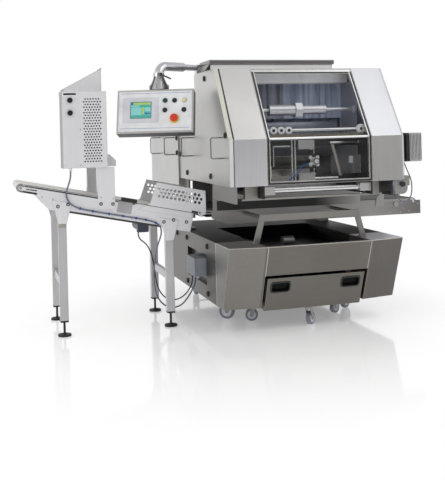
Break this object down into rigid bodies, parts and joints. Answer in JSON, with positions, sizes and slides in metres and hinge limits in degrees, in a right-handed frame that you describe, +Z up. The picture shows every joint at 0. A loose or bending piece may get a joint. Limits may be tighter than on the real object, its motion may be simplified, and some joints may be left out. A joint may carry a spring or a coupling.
{
  "type": "dough divider",
  "caption": "Floor-standing dough divider with a hopper, a see-through guard, a drum, a cross conveyor, a floured side conveyor and a swivelling control panel.",
  "frame": {"origin": "on the floor under the middle of the whole object, leads left out", "axes": "+X along the front to the right, +Y to the back, +Z up"},
  "size_m": [3.3602, 2.6706, 2.08],
  "materials": {
    "cover_steel": "brushed",
    "frame_steel": "satin",
    "base_steel": "brushed",
    "bright_steel": "polished",
    "clear_guard": "clear",
    "grey_belt": "matte",
    "panel_grey": "satin",
    "panel_white": "satin",
    "black_plastic": "satin",
    "green_plastic": "gloss",
    "red_plastic": "gloss",
    "caster_grey": "matte",
    "zinc": "plated",
    "motor_grey": "cast",
    "drum_metal": "turned",
    "box_grey": "satin",
    "grey_cord": "matte",
    "black_cord": "matte",
    "blue_cord": "matte"
  },
  "bodies": {
    "machine": {"base_frame": "frame_steel", "base_front_covers": "base_steel", "base_panels": "base_steel", "head_frame": "frame_steel", "head_side_covers": "cover_steel", "rear_housing": "cover_steel", "head_front_panels": "cover_steel", "head_roof": "cover_steel", "cover_fittings": "bright_steel", "inner_frame": "frame_steel", "sensors": "black_plastic", "encoder_lead": "blue_cord", "drive_motor": "motor_grey", "sensor_lead": "black_cord", "conveyor_arms": "cover_steel", "cross_frame": "cover_steel", "cross_belt": "grey_belt", "junction_box": "box_grey", "motor_lead": "black_cord", "side_frame": "cover_steel", "side_belt": "grey_belt", "side_legs": "cover_steel", "side_motor": "motor_grey", "side_guards": "cover_steel", "duster_housing": "cover_steel", "duster_lead": "grey_cord", "panel_arm": "bright_steel"},
    "guard": {"guard_frame": "cover_steel", "guard_pane": "clear_guard"},
    "drum": {"dividing_drum": "drum_metal"},
    "spindle": {"weight_spindle": "bright_steel"},
    "roller": {"front_roller": "bright_steel"},
    "cross_drive": {"cross_drive_roller": "bright_steel"},
    "cross_tail": {"cross_tail_roller": "bright_steel"},
    "side_drive": {"side_drive_roller": "bright_steel"},
    "side_tail": {"side_tail_roller": "bright_steel"},
    "lid": {"duster_lid": "cover_steel"},
    "upper_knob": {"duster_knob_upper": "black_plastic"},
    "lower_knob": {"duster_knob_lower": "black_plastic"},
    "clamp": {"clamp_lever": "black_plastic"},
    "panel": {"panel_box": "panel_grey", "panel_face": "panel_white"},
    "start_button": {"start_button": "green_plastic"},
    "step_button": {"step_button": "black_plastic"},
    "clean_button": {"clean_button": "black_plastic"},
    "reset_button": {"reset_button": "black_plastic"},
    "stop": {"stop_button": "red_plastic"},
    "drawer": {"drawer_front": "base_steel", "drawer_tray": "base_steel"},
    "machine_caster_left_swivel": {"machine_caster_left_fork": "zinc"},
    "machine_caster_left_roll": {"machine_caster_left_wheel": "caster_grey"},
    "machine_caster_right_swivel": {"machine_caster_right_fork": "zinc"},
    "machine_caster_right_roll": {"machine_caster_right_wheel": "caster_grey"},
    "drawer_caster_front_swivel": {"drawer_caster_front_fork": "zinc"},
    "drawer_caster_front_roll": {"drawer_caster_front_wheel": "caster_grey"},
    "drawer_caster_left_swivel": {"drawer_caster_left_fork": "zinc"},
    "drawer_caster_left_roll": {"drawer_caster_left_wheel": "caster_grey"},
    "drawer_caster_right_swivel": {"drawer_caster_right_fork": "zinc"},
    "drawer_caster_right_roll": {"drawer_caster_right_wheel": "caster_grey"},
    "rear_wheels": {"rear_axle": "caster_grey"}
  },
  "joints": [
    {"name": "guard_hinge", "type": "hinge", "parent": "machine", "child": "guard", "pos_m": [0.47314, -0.99263, 1.96675], "axis": [-1, 0, 0], "range_deg": [0, 80]},
    {"name": "drum_spin", "type": "hinge", "parent": "machine", "child": "drum", "pos_m": [0.47314, -0.53525, 1.5], "axis": [1, 0, 0], "continuous": true},
    {"name": "spindle_turn", "type": "hinge", "parent": "machine", "child": "spindle", "pos_m": [0.47314, -1.03525, 1.663], "axis": [1, 0, 0], "continuous": true},
    {"name": "front_roller_spin", "type": "hinge", "parent": "machine", "child": "roller", "pos_m": [0.47314, -1.24025, 1.066], "axis": [1, 0, 0], "continuous": true},
    {"name": "cross_drive_spin", "type": "hinge", "parent": "machine", "child": "cross_drive", "pos_m": [1.61314, -0.34025, 0.8737], "axis": [0, 1, 0], "continuous": true},
    {"name": "cross_tail_spin", "type": "hinge", "parent": "machine", "child": "cross_tail", "pos_m": [-0.26186, -0.34025, 0.8737], "axis": [0, 1, 0], "continuous": true},
    {"name": "side_drive_spin", "type": "hinge", "parent": "machine", "child": "side_drive", "pos_m": [-1.64884, -0.33775, 1.13006], "axis": [0, 1, 0], "continuous": true},
    {"name": "side_tail_spin", "type": "hinge", "parent": "machine", "child": "side_tail", "pos_m": [-0.36746, -0.33775, 0.8577], "axis": [0, 1, 0], "continuous": true},
    {"name": "duster_lid_hinge", "type": "hinge", "parent": "machine", "child": "lid", "pos_m": [-1.01186, -0.42825, 2.0274], "axis": [0, 1, 0], "range_deg": [0, 95]},
    {"name": "upper_knob_turn", "type": "hinge", "parent": "machine", "child": "upper_knob", "pos_m": [-1.27686, -0.69825, 1.774], "axis": [0, 1, 0], "range_deg": [-135, 135]},
    {"name": "lower_knob_turn", "type": "hinge", "parent": "machine", "child": "lower_knob", "pos_m": [-1.27686, -0.69825, 1.679], "axis": [0, 1, 0], "range_deg": [-135, 135]},
    {"name": "clamp_turn", "type": "hinge", "parent": "machine", "child": "clamp", "pos_m": [-0.58086, -0.70125, 1.965], "axis": [0, 1, 0], "range_deg": [-60, 45]},
    {"name": "panel_swivel", "type": "hinge", "parent": "machine", "child": "panel", "pos_m": [-0.58086, -0.65725, 1.95], "axis": [0, 0, 1], "range_deg": [-70, 70]},
    {"name": "start_button_press", "type": "slide", "parent": "panel", "child": "start_button", "axis": [0.3601, 0.8913, -0.2756], "range_m": [0, 0.004], "stiffness_N_per_m": 400},
    {"name": "step_button_press", "type": "slide", "parent": "panel", "child": "step_button", "axis": [0.3601, 0.8913, -0.2756], "range_m": [0, 0.004], "stiffness_N_per_m": 400},
    {"name": "clean_button_press", "type": "slide", "parent": "panel", "child": "clean_button", "axis": [0.3601, 0.8913, -0.2756], "range_m": [0, 0.004], "stiffness_N_per_m": 400},
    {"name": "reset_button_press", "type": "slide", "parent": "panel", "child": "reset_button", "axis": [0.3601, 0.8913, -0.2756], "range_m": [0, 0.004], "stiffness_N_per_m": 400},
    {"name": "stop_button_press", "type": "slide", "parent": "panel", "child": "stop", "axis": [0.3601, 0.8913, -0.2756], "range_m": [0, 0.006], "stiffness_N_per_m": 600},
    {"name": "drawer_slide", "type": "slide", "parent": "machine", "child": "drawer", "axis": [0, -1, 0], "range_m": [0, 0.38]},
    {"name": "machine_caster_left_swivel", "type": "hinge", "parent": "machine", "child": "machine_caster_left_swivel", "pos_m": [-0.02086, -0.58525, 0.182], "axis": [0, 0, 1], "continuous": true},
    {"name": "machine_caster_left_roll", "type": "hinge", "parent": "machine_caster_left_swivel", "child": "machine_caster_left_roll", "pos_m": [-0.04858, -0.56925, 0.0625], "axis": [-0.5, -0.866, 0], "continuous": true},
    {"name": "machine_caster_right_swivel", "type": "hinge", "parent": "machine", "child": "machine_caster_right_swivel", "pos_m": [0.96714, -0.58525, 0.182], "axis": [0, 0, 1], "continuous": true},
    {"name": "machine_caster_right_roll", "type": "hinge", "parent": "machine_caster_right_swivel", "child": "machine_caster_right_roll", "pos_m": [0.99335, -0.5669, 0.0625], "axis": [-0.5736, 0.8192, 0], "continuous": true},
    {"name": "drawer_caster_front_swivel", "type": "hinge", "parent": "drawer", "child": "drawer_caster_front_swivel", "pos_m": [0.47314, -1.02025, 0.157], "axis": [0, 0, 1], "continuous": true},
    {"name": "drawer_caster_front_roll", "type": "hinge", "parent": "drawer_caster_front_swivel", "child": "drawer_caster_front_roll", "pos_m": [0.49765, -0.99968, 0.05], "axis": [-0.6428, 0.766, 0], "continuous": true},
    {"name": "drawer_caster_left_swivel", "type": "hinge", "parent": "drawer", "child": "drawer_caster_left_swivel", "pos_m": [0.14214, -0.72625, 0.157], "axis": [0, 0, 1], "continuous": true},
    {"name": "drawer_caster_left_roll", "type": "hinge", "parent": "drawer_caster_left_swivel", "child": "drawer_caster_left_roll", "pos_m": [0.11207, -0.7153, 0.05], "axis": [-0.342, -0.9397, 0], "continuous": true},
    {"name": "drawer_caster_right_swivel", "type": "hinge", "parent": "drawer", "child": "drawer_caster_right_swivel", "pos_m": [0.80414, -0.72625, 0.157], "axis": [0, 0, 1], "continuous": true},
    {"name": "drawer_caster_right_roll", "type": "hinge", "parent": "drawer_caster_right_swivel", "child": "drawer_caster_right_roll", "pos_m": [0.83185, -0.71025, 0.05], "axis": [-0.5, 0.866, 0], "continuous": true},
    {"name": "rear_axle_roll", "type": "hinge", "parent": "machine", "child": "rear_wheels", "pos_m": [0.47314, 0.51475, 0.0625], "axis": [1, 0, 0], "continuous": true}
  ],
  "couplings": [
    {"joint": "cross_tail_spin", "follows": "cross_drive_spin", "ratio": 1},
    {"joint": "side_tail_spin", "follows": "side_drive_spin", "ratio": 1}
  ]
}
